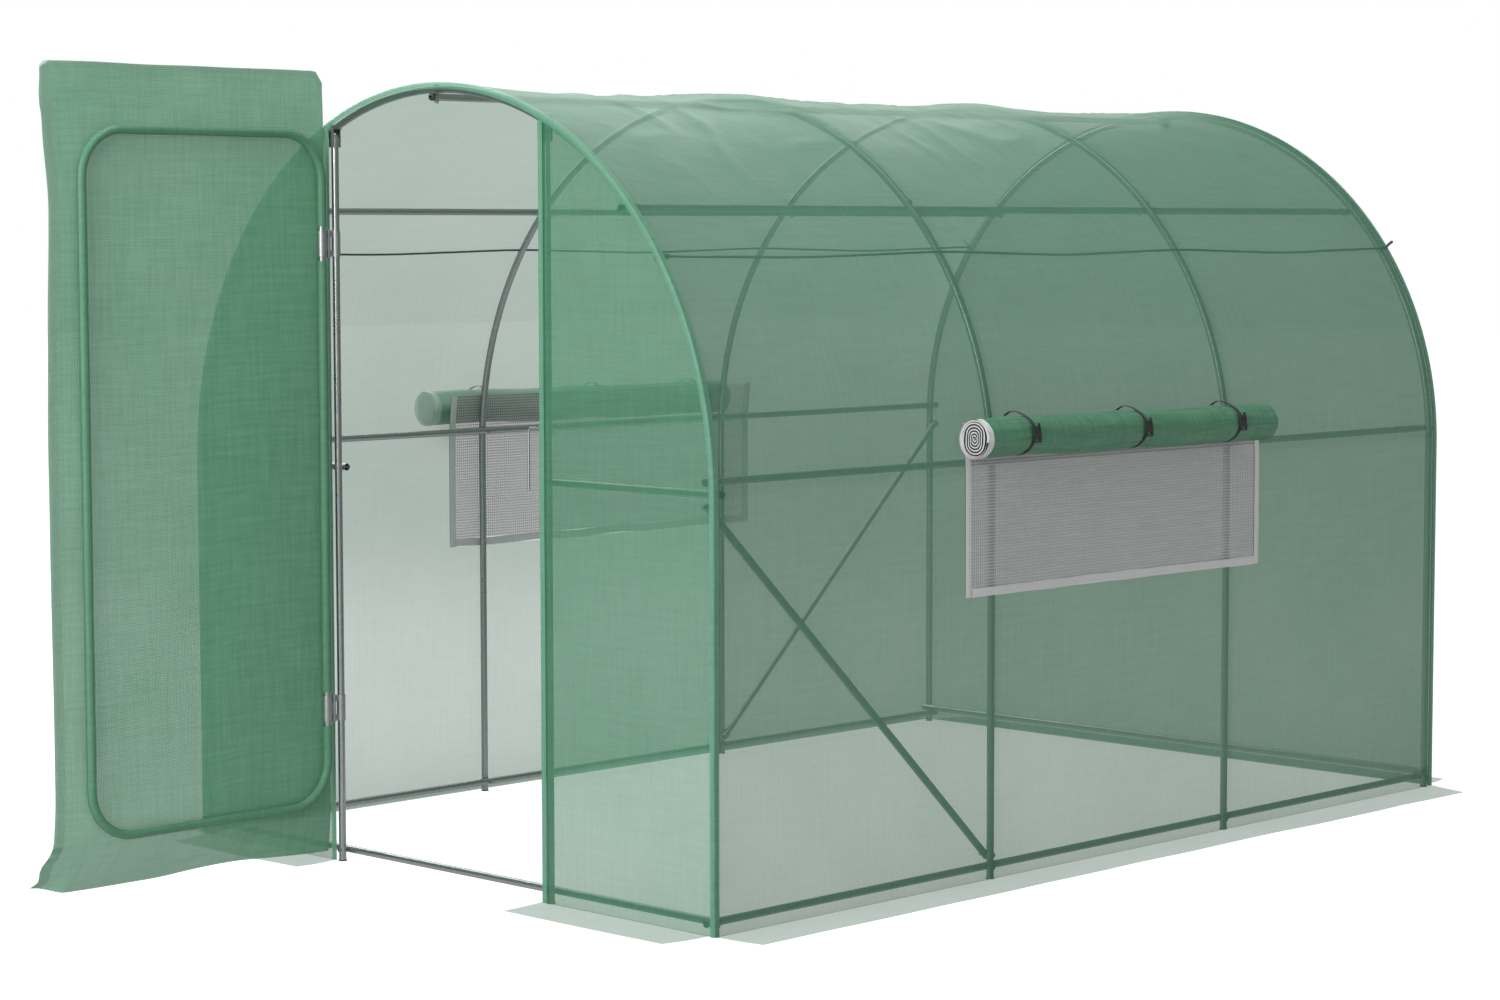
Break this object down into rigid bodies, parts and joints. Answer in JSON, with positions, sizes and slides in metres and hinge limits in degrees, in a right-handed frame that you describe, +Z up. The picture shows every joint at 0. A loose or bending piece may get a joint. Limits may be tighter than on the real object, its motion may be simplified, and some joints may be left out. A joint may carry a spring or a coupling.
{
  "type": "walk-in tunnel greenhouse",
  "caption": "Walk-in tunnel greenhouse with a steel tube frame, green woven cover, hinged door standing open and mesh windows with rolled-up flaps.",
  "frame": {"origin": "on the ground at the middle of the whole outline, with the door standing open and the ground flaps laid out", "axes": "+Z up, the door end faces -Y, +X to the right seen from the door end"},
  "size_m": [2.2694, 4.0308, 2.08],
  "materials": {
    "galvanised_steel": "galvanised, semi-gloss",
    "bright_steel": "zinc plated",
    "woven_cover": "translucent woven film, satin",
    "door_fabric": "translucent woven film, satin",
    "window_mesh": "open mesh",
    "white_binding": "sewn binding",
    "rolled_cover": "rolled woven film",
    "black_webbing": "webbing",
    "black_plastic": "moulded",
    "rope": "braided",
    "cap_plastic": "moulded"
  },
  "bodies": {
    "tunnel": {"leg_right_1": "galvanised_steel", "leg_right_2": "galvanised_steel", "leg_right_3": "galvanised_steel", "leg_right_4": "galvanised_steel", "leg_left_1": "galvanised_steel", "leg_left_2": "galvanised_steel", "leg_left_3": "galvanised_steel", "leg_left_4": "galvanised_steel", "arch_right_1": "galvanised_steel", "arch_right_2": "galvanised_steel", "arch_right_3": "galvanised_steel", "arch_right_4": "galvanised_steel", "arch_left_1": "galvanised_steel", "arch_left_2": "galvanised_steel", "arch_left_3": "galvanised_steel", "arch_left_4": "galvanised_steel", "ridge_tubes": "galvanised_steel", "roof_tubes_right": "galvanised_steel", "roof_tubes_left": "galvanised_steel", "side_tubes_right": "galvanised_steel", "side_tubes_left": "galvanised_steel", "base_tubes_right": "galvanised_steel", "base_tubes_left": "galvanised_steel", "rear_base_tubes": "galvanised_steel", "door_sill_tubes": "galvanised_steel", "door_post_right": "galvanised_steel", "door_post_left": "galvanised_steel", "post_clamps": "galvanised_steel", "front_cross_tubes": "galvanised_steel", "crown_couplers": "galvanised_steel", "braces": "galvanised_steel", "frame_bolts": "bright_steel", "frame_nuts": "bright_steel", "foot_caps": "cap_plastic", "tunnel_cover": "woven_cover", "rear_panel": "woven_cover", "front_panel_right": "woven_cover", "front_panel_left": "woven_cover", "ground_flap_right": "woven_cover", "ground_flap_left": "woven_cover", "ground_flap_rear": "woven_cover", "ground_flaps_front": "woven_cover", "window_mesh_right": "window_mesh", "window_mesh_left": "window_mesh", "window_borders": "white_binding", "rolled_flap_right": "rolled_cover", "rolled_flap_left": "rolled_cover", "roll_straps": "black_webbing", "strap_buckles": "black_plastic", "rope_right": "rope", "rope_left": "rope", "rope_knots": "rope", "hinge_post_leaves": "bright_steel", "hinge_pins": "bright_steel", "latch_bracket": "bright_steel"},
    "door": {"door_frame_upper": "galvanised_steel", "door_frame_lower": "galvanised_steel", "door_cover": "door_fabric", "hinge_door_leaves": "bright_steel"},
    "latch": {"latch_hook": "bright_steel"}
  },
  "joints": [
    {"name": "door_hinge", "type": "hinge", "parent": "tunnel", "child": "door", "pos_m": [-0.41, -1.15835, 1.02], "axis": [0, 0, 1], "range_deg": [-10, 90]},
    {"name": "latch_swing", "type": "hinge", "parent": "tunnel", "child": "latch", "pos_m": [0.384, -1.13435, 1.178], "axis": [1, 0, 0], "range_deg": [0, 110]}
  ]
}
